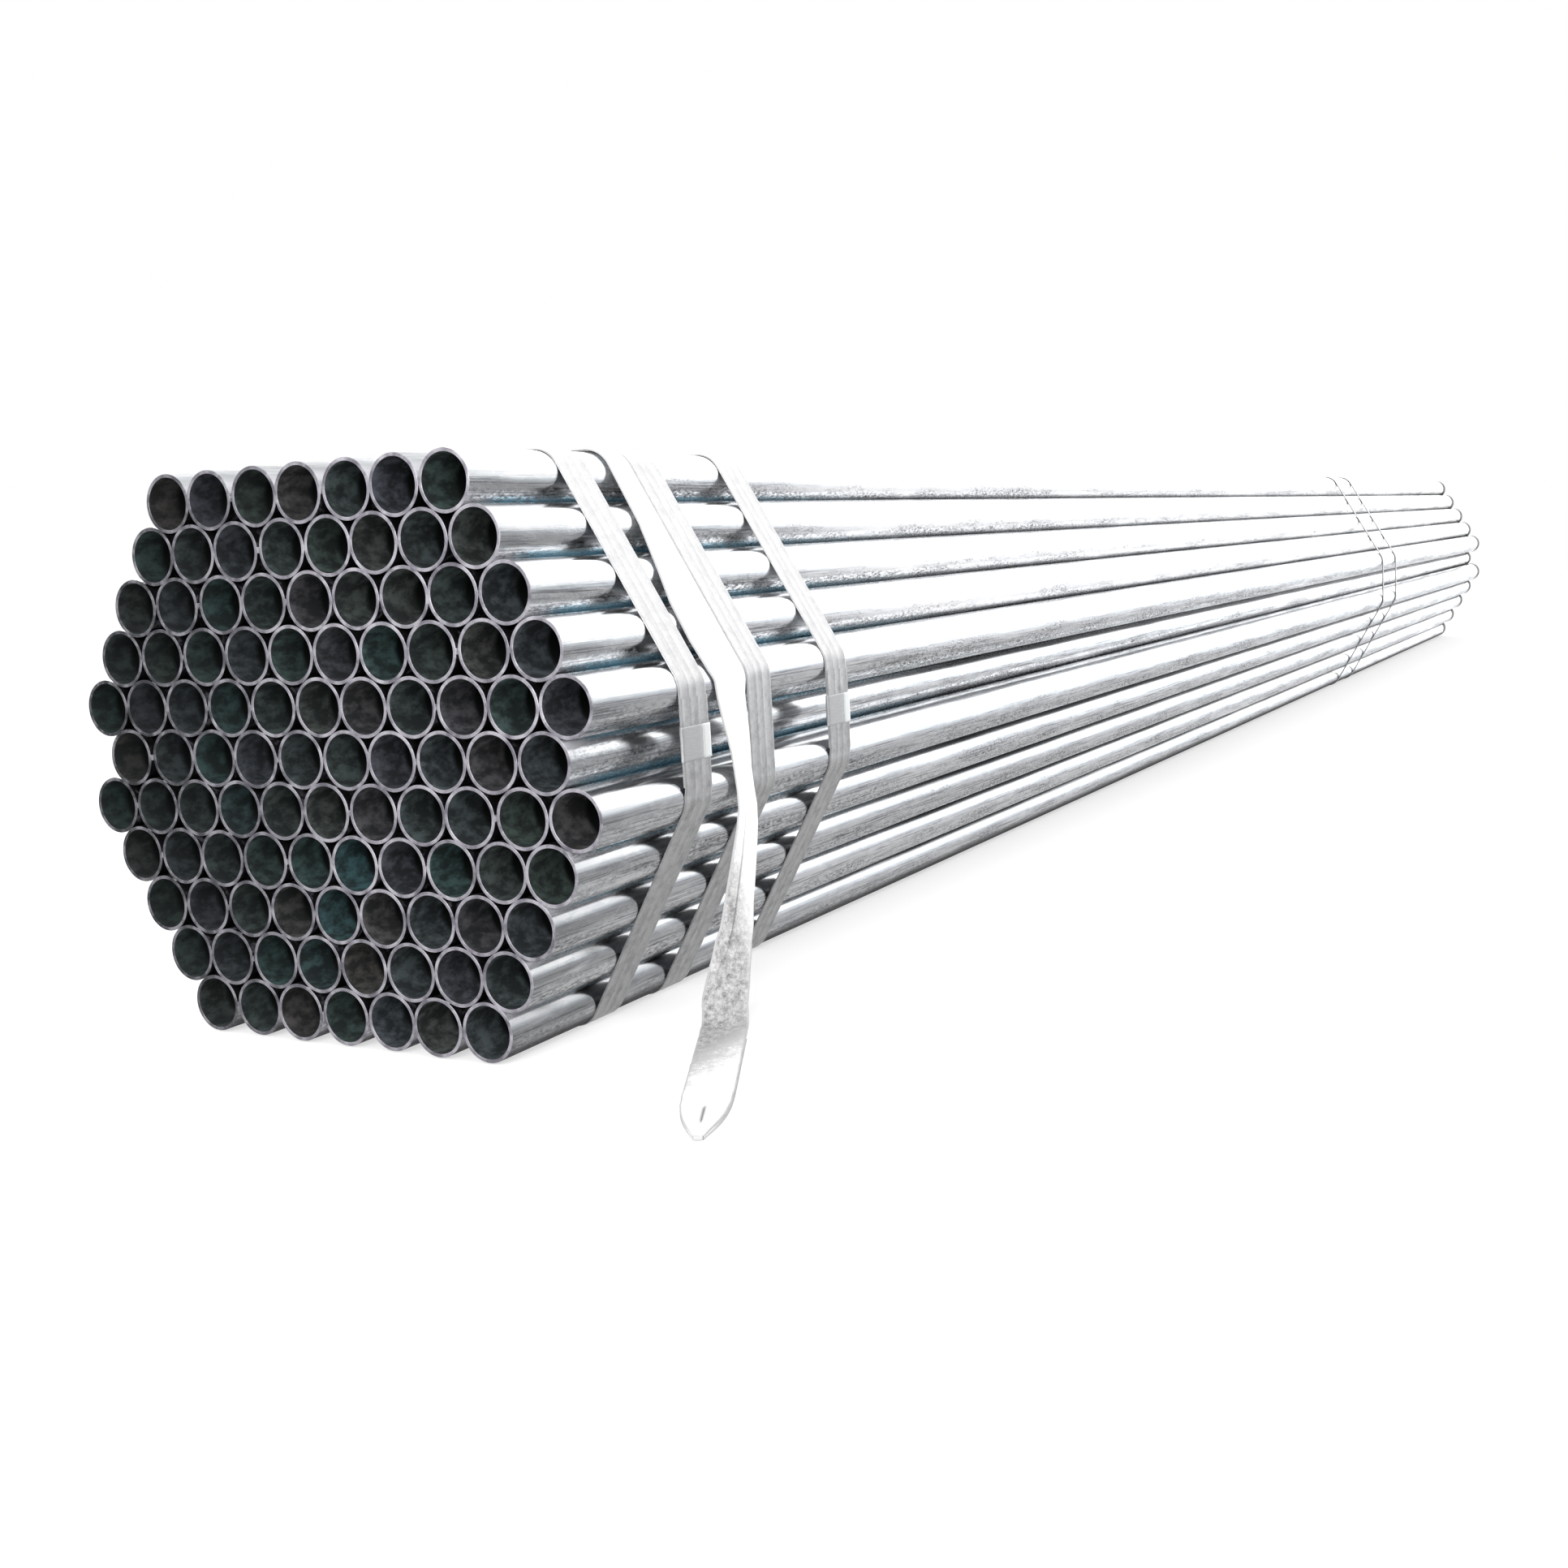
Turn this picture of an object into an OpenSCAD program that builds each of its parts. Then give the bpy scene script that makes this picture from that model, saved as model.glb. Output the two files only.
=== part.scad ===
// Hexagonal bundle of round steel pipes, held by flat steel straps,
// with a webbing lifting sling laid over it and hanging free on one side.
// The pipes run along X. The near end, on the -X side, is the one that is strapped closely.

/* [Pipes] */
// Outside diameter of one pipe
pipe_od = 60.3; // [26.9:0.1:114.3]
// Wall thickness of one pipe
pipe_wall = 3.6; // [2:0.1:6]
// Length of every pipe
pipe_length = 5800; // [5000:100:12000]
// Clear space between two neighbouring pipes
pipe_gap = 0.3; // [0.1:0.1:2]
// Number of pipes in the top row, which is also the number in the bottom row
top_row_pipes = 7; // [4:1:12]

/* [Straps] */
// Thickness of every strap
strap_t = 1.3; // [0.6:0.1:2]
// Width of the three wide straps at the near end
wide_strap_w = 50; // [32:1:56]
// Width of the two narrow straps near the far end
narrow_strap_w = 19; // [13:1:50]
// Clear space between a strap and the pipes it bends around
strap_gap = 0.3; // [0.1:0.1:1]
// Length of the strap's second layer, where its two ends lap under the seal
lap_length = 90; // [60:1:100]
// Distance from the near end to the first strap's edge
first_strap_in = 141; // [60:1:300]
// Clear space between the second and third straps
third_strap_gap = 125; // [20:1:400]
// Distances from the near end to the middle of each narrow strap
narrow_strap_at = [3820, 4020]; // [1000:10:4900]

/* [Seals] */
// Length of a seal along its strap
seal_length = 34; // [25:1:50]
// Sheet thickness of a seal
seal_t = 0.9; // [0.5:0.1:1.5]
// Clear space between a seal and the strap layers inside it
seal_gap = 0.1; // [0.05:0.05:0.3]

/* [Sling] */
// Width of the sling's webbing around the bundle
sling_w = 68; // [40:1:100]
// Clear space between the sling and the strap on each side of it
sling_side_gap = 6.5; // [2:0.5:50]
// Thickness of the webbing
sling_t = 2.6; // [1.5:0.1:4]
// Width of the webbing where it leaves the bundle, partly folded together
waist_w = 42; // [30:1:60]
// Clear space between that narrow place and the second strap
waist_gap = 2.5; // [1:0.5:20]
// Width of the folded webbing at the free end
tail_w = 48; // [30:1:60]
// Thickness of the flat eye, which is two layers of webbing
eye_t = 5.2; // [3:0.1:8]
// How far the hanging part drifts towards the near end on its way down
tail_drift = 43.5; // [0:0.5:60]
// Distance along the floor from the foot of the hanging part to the round end of the eye
tail_reach = 318; // [100:1:400]
// Angle on the floor between the pipes and the tail
tail_angle = 27; // [0:1:80]

/* [Hidden] */

$fn = 96;

// Pipes that each row has more than the top row, from the top row down
row_extra = [0, 1, 2, 3, 4, 3, 4, 3, 2, 1, 0];
rows = len(row_extra);
first_wide = 4; // upper of the two widest rows
last_wide = 6;  // lower of the two widest rows
pitch = pipe_od + pipe_gap;
row_height = pitch * sin(60);
pipe_r = pipe_od / 2;
bore_r = pipe_r - pipe_wall;

// Every strap passes outside the pipes at this radius, and lies flat on the floor below them
strap_r = pipe_r + strap_gap;
bottom_z = strap_r + strap_t;

function row_z(i) = bottom_z + (rows - 1 - i) * row_height;
function row_half(i) = (top_row_pipes + row_extra[i] - 1) / 2 * pitch;

// Centres of the eight corner pipes, anticlockwise as seen from the near end's far side
corners = [
    [-row_half(rows - 1), row_z(rows - 1)], [row_half(rows - 1), row_z(rows - 1)],
    [row_half(last_wide), row_z(last_wide)], [row_half(first_wide), row_z(first_wide)],
    [row_half(0), row_z(0)], [-row_half(0), row_z(0)],
    [-row_half(first_wide), row_z(first_wide)], [-row_half(last_wide), row_z(last_wide)]
];
flank_y = row_half(first_wide) + strap_r;
flank_z = (row_z(first_wide) + row_z(last_wide)) / 2;

// The sling lies between the first two straps
first_strap_at = first_strap_in + wide_strap_w / 2;
sling_at = first_strap_at + (wide_strap_w + sling_w) / 2 + sling_side_gap;
second_strap_at = sling_at + (wide_strap_w + sling_w) / 2 + sling_side_gap;
third_strap_at = second_strap_at + wide_strap_w + third_strap_gap;
strap_at = concat([first_strap_at, second_strap_at, third_strap_at], narrow_strap_at);
strap_w = [wide_strap_w, wide_strap_w, wide_strap_w, narrow_strap_w, narrow_strap_w];
// Side of the bundle that each seal is on: -1 is the sling's side
seal_side = [-1, 1, -1, 1, 1];

// Middle of the narrow place, along the pipes
waist_at = second_strap_at - wide_strap_w / 2 - waist_gap - waist_w / 2;
// The sling's free end: its foot on the floor, and the centre of the eye's round end
tail_foot = [sling_at - tail_drift, -flank_y - sling_t / 2];
tail_end = tail_foot - tail_reach * [cos(tail_angle), sin(tail_angle)];

// The origin is the middle of the whole object's box, on the floor
high_y = flank_y + max(sling_t, 2 * strap_t + seal_gap + seal_t);
low_x = min(0, tail_end.x - tail_w / 2);
low_y = min(-high_y, tail_end.y - tail_w / 2);
middle = [(low_x + pipe_length) / 2, (low_y + high_y) / 2];

// Outline of a band pulled tight around circles of radius r on the corner centres
function away(a, b) = [b.y - a.y, a.x - b.x] / norm(b - a);
module tight_outline(r) {
    polygon([
        for (i = [0 : len(corners) - 1])
            let (a = corners[i], b = corners[(i + 1) % len(corners)])
                each [a + r * away(a, b), b + r * away(a, b)]
    ]);
    for (c = corners) translate(c) circle(r);
}

// Turns a drawing of the bundle's cross-section into a slice of width w, centred at x from the near end
module slice(x, w) {
    translate([x - w / 2, 0, 0]) rotate([90, 0, 90]) linear_extrude(w) children();
}

module in_place() {
    translate([-middle.x, -middle.y, 0]) children();
}

module pipe_row(i) {
    color("silver") in_place()
        for (k = [0 : top_row_pipes + row_extra[i] - 1])
            translate([0, k * pitch - row_half(i), row_z(i)]) rotate([0, 90, 0])
                difference() {
                    cylinder(r = pipe_r, h = pipe_length);
                    translate([0, 0, -1]) cylinder(r = bore_r, h = pipe_length + 2);
                }
}

// One closed loop of flat strap, with the second layer of its lap on the outside
module strap(i) {
    color("lightgray") in_place() {
        slice(strap_at[i], strap_w[i]) difference() {
            tight_outline(strap_r + strap_t);
            tight_outline(strap_r);
        }
        translate([strap_at[i], seal_side[i] * (flank_y + strap_t * 1.5), flank_z])
            cube([strap_w[i], strap_t, lap_length], center = true);
    }
}

// A folded sheet sleeve that grips both layers of the lap
module seal(i) {
    inside = [strap_w[i] + 2 * seal_gap, 2 * strap_t + 2 * seal_gap];
    color("gainsboro") in_place()
        translate([strap_at[i], seal_side[i] * (flank_y + strap_t), flank_z])
            difference() {
                cube([inside.x + 2 * seal_t, inside.y + 2 * seal_t, seal_length], center = true);
                cube([inside.x, inside.y, seal_length + 2], center = true);
            }
}

// The sling comes from under the bundle, up its far side and over the top, and hangs free on the near side
module sling() {
    beyond = flank_y + 50; // well outside the bundle
    side = tail_w / 2 * [-sin(tail_angle), cos(tail_angle)];
    color("white") in_place() {
        slice(sling_at, sling_w) difference() {
            tight_outline(strap_r + sling_t);
            tight_outline(strap_r);
            translate([-beyond, -beyond]) square([2 * beyond, beyond]);
            translate([-beyond, -beyond]) square([beyond - row_half(rows - 1), beyond + row_z(first_wide)]);
        }
        translate([0, -flank_y, 0]) rotate([90, 0, 0]) linear_extrude(sling_t)
            polygon([
                [sling_at - sling_w / 2, row_z(first_wide)], [sling_at + sling_w / 2, row_z(first_wide)],
                [waist_at + waist_w / 2, row_z(last_wide)], [tail_foot.x + tail_w / 2, 0],
                [tail_foot.x - tail_w / 2, 0], [waist_at - waist_w / 2, row_z(last_wide)]
            ]);
        linear_extrude(eye_t) {
            polygon([tail_foot - side, tail_foot + side, tail_end + side, tail_end - side]);
            translate(tail_foot) circle(tail_w / 2);
            translate(tail_end) circle(tail_w / 2);
        }
    }
}

for (i = [0 : rows - 1])
    pipe_row(i);
for (i = [0 : len(strap_at) - 1]) {
    strap(i);
    seal(i);
}
sling();
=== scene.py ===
import math
import random

import bmesh
import bpy
from mathutils import Matrix, Vector


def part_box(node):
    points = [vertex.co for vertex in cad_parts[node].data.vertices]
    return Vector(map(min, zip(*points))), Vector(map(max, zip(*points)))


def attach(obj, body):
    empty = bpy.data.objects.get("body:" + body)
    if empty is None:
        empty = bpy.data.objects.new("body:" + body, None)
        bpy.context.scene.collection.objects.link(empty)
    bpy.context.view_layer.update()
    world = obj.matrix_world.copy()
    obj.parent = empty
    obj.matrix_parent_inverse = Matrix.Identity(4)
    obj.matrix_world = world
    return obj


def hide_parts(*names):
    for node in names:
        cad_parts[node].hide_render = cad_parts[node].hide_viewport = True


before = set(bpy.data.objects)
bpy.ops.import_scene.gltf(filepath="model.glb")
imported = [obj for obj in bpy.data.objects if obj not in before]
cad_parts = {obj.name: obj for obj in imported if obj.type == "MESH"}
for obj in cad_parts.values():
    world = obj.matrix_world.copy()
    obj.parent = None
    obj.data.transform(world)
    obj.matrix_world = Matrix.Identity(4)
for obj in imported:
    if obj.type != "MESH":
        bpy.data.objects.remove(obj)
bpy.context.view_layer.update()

# ---- Camera, floor and light ------------------------------------------------------------------
# The bundle lies on a plain pale floor in a white studio, seen from low down beside its near end.
# A big soft dome lights it: bright above, brightest past the far end, grey towards the floor and
# faintly blue low down.
scene = bpy.context.scene
lens = bpy.data.cameras.new("camera")
lens.lens, lens.sensor_width = 39.78, 36
lens.clip_start, lens.clip_end = 0.05, 100
camera = bpy.data.objects.new("camera", lens)
heading, tilt, roll = math.radians(29.37), math.radians(-7.81), math.radians(-3.15)
camera.matrix_world = (
    Matrix.Translation((-4.1055, -1.1537, 0.4797))
    @ Matrix.Rotation(heading - math.pi / 2, 4, "Z")
    @ Matrix.Rotation(math.pi / 2 + tilt, 4, "X")
    @ Matrix.Rotation(roll, 4, "Z")
)
scene.collection.objects.link(camera)
scene.camera = camera
scene.view_settings.view_transform = "Standard"


def colour(hex_code):
    """The linear colour of an sRGB hex value."""
    parts = [int(hex_code[i:i + 2], 16) / 255 for i in (1, 3, 5)]
    return [p / 12.92 if p <= 0.04045 else ((p + 0.055) / 1.055) ** 2.4 for p in parts] + [1]


def plug(tree, made, inputs):
    """Fills a node's sockets, each with a value or with a link from another node's output."""
    for socket, value in inputs.items():
        if isinstance(value, bpy.types.NodeSocket):
            tree.links.new(value, made.inputs[socket])
        else:
            made.inputs[socket].default_value = value


def node(tree, kind, inputs=None, stops=None, output=None, **settings):
    """Adds a node, fills its sockets, and returns the output named, or else the first in use."""
    made = tree.nodes.new("ShaderNode" + kind)
    for name, value in settings.items():
        setattr(made, name, value)
    plug(tree, made, inputs or {})
    if stops:
        while len(made.color_ramp.elements) < len(stops):
            made.color_ramp.elements.new(0.5)
        for element, (place, shade) in zip(made.color_ramp.elements, stops):
            element.position = place
            element.color = colour(shade) if isinstance(shade, str) else shade
    return made.outputs[output] if output else next((o for o in made.outputs if o.enabled), None)


dome = bpy.data.worlds.new("white_studio")
dome.use_nodes = True
tree = dome.node_tree
tree.nodes.clear()
way = node(tree, "TexCoord", output="Generated")
way_x, way_y, way_z = node(tree, "SeparateXYZ", {0: way}).node.outputs
# within 33 degrees of either end of the X axis the dome is as bright as it is higher up
ends = node(tree, "Math", {0: way_x}, operation="ABSOLUTE")
ends = node(tree, "Math", {0: ends, 1: 0.84}, operation="SUBTRACT")
ends = node(tree, "Math", {0: ends, 1: 0.0}, operation="MAXIMUM")
height = node(tree, "Math", {0: ends, 1: 1.4, 2: way_z}, operation="MULTIPLY_ADD")
level = node(tree, "MapRange", {"Value": height, "From Min": -1, "From Max": 1})
glow = node(tree, "ValToRGB", {0: level}, stops=[
    (0.00, (0.22, 0.22, 0.22, 1)), (0.38, (0.28, 0.28, 0.28, 1)), (0.485, (0.36, 0.36, 0.37, 1)),
    (0.530, (0.56, 0.60, 0.63, 1)), (0.580, (1.0, 1.0, 1.0, 1)), (0.80, (1.0, 1.0, 1.0, 1)),
    (1.00, (0.8, 0.8, 0.8, 1)),
])
# past the far end, and a little to the side away from the sling, it is brightest
beyond = node(tree, "Math", {0: way_y, 1: 0.35, 2: way_x}, operation="MULTIPLY_ADD")
strong = node(tree, "MapRange", {"Value": beyond, "From Min": 0.56, "From Max": 0.70,
                                 "To Min": 1.0, "To Max": 2.6}, interpolation_type="SMOOTHSTEP")
lit = node(tree, "Background", {"Color": glow, "Strength": strong})
plain = node(tree, "Background", {"Color": (1.0, 1.0, 1.0, 1), "Strength": 1.0})
seen = node(tree, "LightPath", output="Is Camera Ray")
node(tree, "OutputWorld", {"Surface": node(tree, "MixShader", {0: seen, 1: lit, 2: plain})})
scene.world = dome

bm = bmesh.new()
bmesh.ops.create_circle(bm, cap_ends=True, segments=96, radius=16)
mesh = bpy.data.meshes.new("floor")
bm.to_mesh(mesh)
bm.free()
floor = bpy.data.objects.new("floor", mesh)
scene.collection.objects.link(floor)
floor.visible_glossy = False
# matt white, lifted by a weak glow of its own, and fading out to the white of the studio
chalk = bpy.data.materials.new("matt_white_floor")
chalk.use_nodes = True
tree = chalk.node_tree
tree.nodes.clear()
reach = node(tree, "VectorMath", {0: node(tree, "TexCoord", output="Object")}, operation="LENGTH")
edge = node(tree, "MapRange", {"Value": reach, "From Min": 4.5, "From Max": 12})
matt = node(tree, "BsdfDiffuse", {"Color": colour("#F4F4F4")})
lit_below = node(tree, "Emission", {"Color": (1, 1, 1, 1), "Strength": 1.3})
matt = node(tree, "MixShader", {0: 0.45, 1: matt, 2: lit_below})
clear = node(tree, "BsdfTransparent")
node(tree, "OutputMaterial", {0: node(tree, "MixShader", {0: edge, 1: matt, 2: clear})})
mesh.materials.append(chalk)

# one soft box hangs over the side where the sling's tail lies, and one stands before the near end
for name, size, watts, stand, aim in (
        ("soft_box_above", (5.0, 3.0), 60, (-1.6, -2.6, 4.2), (-1.6, 0.02, 0.0)),
        ("soft_box_before_the_end", (2.4, 1.6), 150, (-6.2, -0.9, 1.5), (-2.84, 0.08, 0.3))):
    lamp = bpy.data.lights.new(name, "AREA")
    lamp.shape, lamp.energy = "RECTANGLE", watts
    lamp.size, lamp.size_y = size
    soft_box = bpy.data.objects.new(name, lamp)
    turned = (Vector(aim) - Vector(stand)).to_track_quat("-Z", "Y").to_matrix().to_4x4()
    soft_box.matrix_world = Matrix.Translation(stand) @ turned
    scene.collection.objects.link(soft_box)

# ---- Pipes ------------------------------------------------------------------------------------
# A hundred tubes of 60.3 x 3.6 mm, welded, hot-dip galvanised outside, sawn to length and stacked
# in eleven rows so that each rests in the hollow between two others. Their bores are dark mill scale.
pipe_od, pipe_wall, pipe_pitch = 0.0603, 0.0036, 0.0606
pipe_r = pipe_od / 2
bore_r = pipe_r - pipe_wall
pipe_sides = 64
broken_edge = 0.0004
sawn_off = 0.0035  # the most that one pipe ends short of the longest
rows = [f"pipe_row_{number:02d}" for number in range(1, 12)]
near_x, far_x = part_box(rows[5])[0].x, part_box(rows[5])[1].x
middle_y = (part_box(rows[5])[0].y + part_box(rows[5])[1].y) / 2
halfway_x, half_length = (near_x + far_x) / 2, (far_x - near_x) / 2


def row_centres(name):
    """The middle line of each pipe in a row, as (y, z)."""
    low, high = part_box(name)
    middle = (low + high) / 2
    count = round((high.y - low.y - pipe_od) / pipe_pitch) + 1
    return [Vector((middle.y + (k - (count - 1) / 2) * pipe_pitch, middle.z)) for k in range(count)]


centres = {name: row_centres(name) for name in rows}
every_centre = [centre for name in rows for centre in centres[name]]
top_z = centres[rows[0]][0].y
flank_top = centres[rows[4]][0].y
recess = (centres[rows[5]][0].y + centres[rows[6]][0].y) / 2  # between the two rows that step in


def eased(value):
    """A smooth step from 0 to 1."""
    value = max(0.0, min(1.0, value))
    return value * value * (3 - 2 * value)


def one_pipe(length):
    """A pipe round the X axis, from x = 0: the section of its wall spun round, its edges broken."""
    bm = bmesh.new()
    corners = [bm.verts.new(at) for at in (
        (0, 0, bore_r), (0, 0, pipe_r), (length, 0, pipe_r), (length, 0, bore_r))]
    section = [bm.edges.new((corners[i], corners[(i + 1) % 4])) for i in range(4)]
    bmesh.ops.spin(bm, geom=corners + section, cent=(0, 0, 0), axis=(1, 0, 0),
                   angle=2 * math.pi, steps=pipe_sides, use_merge=True)
    bmesh.ops.recalc_face_normals(bm, faces=bm.faces[:])
    cuts = [e for e in bm.edges if e.calc_face_angle(0) > 1]
    bmesh.ops.bevel(bm, geom=cuts, offset=broken_edge, affect="EDGES", segments=2,
                    profile=0.5, material=-1)
    wall_middle = (bore_r + pipe_r) / 2
    for face in bm.faces:
        middle = face.calc_center_median()
        if abs(face.normal.x) > 0.3:
            face.material_index = 1
        elif math.hypot(middle.y, middle.z) < wall_middle:
            face.material_index = 2
        face.smooth = True
    for e in bm.edges:
        e.smooth = e.calc_face_angle(0) < 0.3
    made = bpy.data.meshes.new("one_pipe")
    bm.to_mesh(made)
    bm.free()
    return made


def finished(bm, name, slot, stands_for, *materials):
    """Makes a mesh a piece of the bundle, with its materials and the node it stands for. Its slot is
    not used.
    """
    made = bpy.data.meshes.new(name)
    bm.to_mesh(made)
    bm.free()
    piece = bpy.data.objects.new(name, made)
    scene.collection.objects.link(piece)
    for material in materials:
        made.materials.append(material)
    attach(piece, "root")
    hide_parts(stands_for)
    return piece


# Hot-dip galvanised steel: bright zinc with faint crystals a centimetre across and drawn lines
# along the pipe. Painted reflection, shade and light lie on it with dirt, dust and stain, each with
# its own share.
zinc = bpy.data.materials.new("hot_dip_galvanised_steel")
zinc.use_nodes = True
tree = zinc.node_tree
spot = node(tree, "TexCoord", output="Object")
x_at, y_at, z_at = node(tree, "SeparateXYZ", {0: spot}).node.outputs
batch = node(tree, "Attribute", attribute_name="batch", output="Fac")
groove = node(tree, "Attribute", attribute_name="groove", output="Fac")
under = node(tree, "Attribute", attribute_name="under", output="Fac")
drawn = node(tree, "Mapping", {"Vector": spot, "Scale": (3, 330, 330)})
lines = node(tree, "TexNoise", {"Vector": drawn, "Scale": 1, "Detail": 5, "Roughness": 0.65})
grown = node(tree, "Mapping", {"Vector": spot, "Scale": (60, 130, 130)})
spangle = node(tree, "TexVoronoi", {"Vector": grown, "Scale": 1}, output="Color")
spangle = node(tree, "SeparateXYZ", {0: spangle})
touched = node(tree, "Mapping", {"Vector": spot, "Scale": (5, 38, 38)})
patches = node(tree, "TexNoise", {"Vector": touched, "Scale": 1, "Detail": 6, "Roughness": 0.7})
fine = node(tree, "Mapping", {"Vector": spot, "Scale": (150, 420, 420)})
speckle = node(tree, "TexNoise", {"Vector": fine, "Scale": 1, "Detail": 3, "Roughness": 0.6})
streaks = node(tree, "MapRange", {"Value": lines, "From Min": 0.35, "From Max": 0.75, "To Max": 0.5})
duller = node(tree, "Math", {0: batch, 1: 0.28}, operation="MULTIPLY")

# patches of handling dirt, and fine dark scratches, both thicker underneath
dirt = node(tree, "Math", {0: under, 1: 0.30, 2: patches}, operation="MULTIPLY_ADD")
dirt = node(tree, "MapRange", {"Value": dirt, "From Min": 0.60, "From Max": 0.82})
grit = node(tree, "MapRange", {"Value": speckle, "From Min": 0.40, "From Max": 0.66})
dirty = node(tree, "Math", {0: dirt, 1: grit}, operation="MULTIPLY")
scratches = node(tree, "Mapping", {"Vector": spot, "Scale": (9, 520, 520)})
scratches = node(tree, "TexNoise", {"Vector": scratches, "Scale": 1, "Detail": 4, "Roughness": 0.7})
scratches = node(tree, "MapRange", {"Value": scratches, "From Min": 0.50, "From Max": 0.62,
                                    "To Max": 0.8})
below = node(tree, "MapRange", {"Value": under, "From Max": 0.5})
scratches = node(tree, "Math", {0: scratches, 1: below}, operation="MULTIPLY")

# a painted blue-grey reflection down in the grooves, which fades out past the third strap
fade_from, faded_at = near_x + 0.40, near_x + 0.90
painted_groove_reflection = node(tree, "MapRange", {"Value": groove, "From Min": 0.74, "From Max": 1.0})
for share in (
        node(tree, "MapRange", {"Value": x_at, "From Min": fade_from, "From Max": faded_at,
                                "To Min": 0.75, "To Max": 0.0}),
        node(tree, "MapRange", {"Value": x_at, "From Min": near_x + 0.02, "From Max": near_x + 0.06})):
    painted_groove_reflection = node(tree, "Math", {0: painted_groove_reflection, 1: share}, operation="MULTIPLY")

# as it fades, painted shade draws dark lines in the grooves: wide ones low down, on the top and on
# the side away from the sling, thin ones on the upper slant, hardly any where the flank steps in, and
# all wide at the far end
deep = node(tree, "MapRange", {"Value": groove, "From Min": 0.55, "From Max": 0.95})
wide = node(tree, "MapRange", {"Value": groove, "From Min": 0.30, "From Max": 0.62})
lower = node(tree, "MapRange", {"Value": z_at, "From Min": flank_top, "From Max": flank_top - 0.04})
first_y = centres[rows[0]][0].x
other_side = node(tree, "MapRange", {"Value": y_at, "From Min": first_y - 0.005,
                                     "From Max": first_y + 0.015})
lower = node(tree, "Math", {0: lower, 1: other_side}, operation="MAXIMUM")
painted_groove_shade = node(tree, "Mix", {0: lower, 2: deep, 3: wide})
from_recess = node(tree, "Math", {0: z_at, 1: recess}, operation="SUBTRACT")
from_recess = node(tree, "Math", {0: from_recess}, operation="ABSOLUTE")
for share in (
        node(tree, "MapRange", {"Value": x_at, "From Min": fade_from, "From Max": faded_at,
                                "To Max": 0.9}),
        node(tree, "MapRange", {"Value": lower, "To Min": 0.45}),
        node(tree, "MapRange", {"Value": from_recess, "From Min": 0.012, "From Max": 0.026,
                                "To Min": 0.15})):
    painted_groove_shade = node(tree, "Math", {0: painted_groove_shade, 1: share}, operation="MULTIPLY")
last_stretch = node(tree, "Math", {
    0: node(tree, "MapRange", {"Value": x_at, "From Min": far_x - 1.6, "From Max": far_x - 0.4,
                               "To Max": 0.9}),
    1: node(tree, "MapRange", {"Value": groove, "From Min": 0.20, "From Max": 0.55}),
}, operation="MULTIPLY")
painted_groove_shade = node(tree, "Math", {0: painted_groove_shade, 1: last_stretch}, operation="MAXIMUM")

# painted shade under the bottom row, where it meets the floor, and darker over the last few
# centimetres of the far ends
painted_floor_shade_and_dark_ends = node(tree, "Math", {
    0: node(tree, "MapRange", {"Value": z_at, "From Min": 0.022, "From Max": 0.012, "To Max": 0.95}),
    1: node(tree, "MapRange", {"Value": x_at, "From Min": far_x - 0.075, "From Max": far_x - 0.036,
                               "To Max": 0.8}),
}, operation="MAXIMUM")

# painted light: a near-white, less metallic coat on the upper pipes of the sling's side, and on all of
# that side towards the far end
painted_light = node(tree, "Math", {
    0: node(tree, "MapRange", {"Value": z_at, "From Min": flank_top - 0.02,
                               "From Max": flank_top + 0.03}),
    1: node(tree, "MapRange", {"Value": x_at, "From Min": near_x + 0.42, "From Max": near_x + 0.80,
                               "To Max": 0.95}),
}, operation="MULTIPLY")
painted_far_light = node(tree, "MapRange", {"Value": x_at, "From Min": near_x + 2.2, "From Max": far_x,
                                    "To Max": 0.8})
painted_light = node(tree, "Math", {0: painted_light, 1: painted_far_light}, operation="MAXIMUM")
for share in (
        node(tree, "MapRange", {"Value": other_side, "To Min": 1.0, "To Max": 0.12}),
        node(tree, "MapRange", {"Value": under, "From Min": 0.02, "From Max": 0.22, "To Min": 0.15}),
        node(tree, "MapRange", {"Value": deep, "To Min": 1.0, "To Max": 0.2}),
        node(tree, "MapRange", {"Value": last_stretch, "To Min": 1.0, "To Max": 0.1})):
    painted_light = node(tree, "Math", {0: painted_light, 1: share}, operation="MULTIPLY")

# dust that has settled on the flat top
settled = node(tree, "MapRange", {"Value": z_at, "From Min": top_z, "From Max": top_z + 0.02})
for share in (
        other_side,
        node(tree, "MapRange", {"Value": patches, "From Min": 0.35, "From Max": 0.60,
                                "To Min": 0.5, "To Max": 0.95})):
    settled = node(tree, "Math", {0: settled, 1: share}, operation="MULTIPLY")

# pale storage stain in the grooves at both cut ends
from_middle = node(tree, "Math", {0: x_at, 1: halfway_x}, operation="SUBTRACT")
from_middle = node(tree, "Math", {0: from_middle}, operation="ABSOLUTE")
stained = groove
for share in (
        node(tree, "MapRange", {"Value": from_middle, "From Min": half_length - 0.050,
                                "From Max": half_length - 0.008}),
        node(tree, "MapRange", {"Value": patches, "From Min": 0.44, "From Max": 0.60})):
    stained = node(tree, "Math", {0: stained, 1: share}, operation="MULTIPLY")

# the layers below hold painted reflection and shade in the grooves, painted shade under the bottom row
# and painted light on the upper pipes
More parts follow.
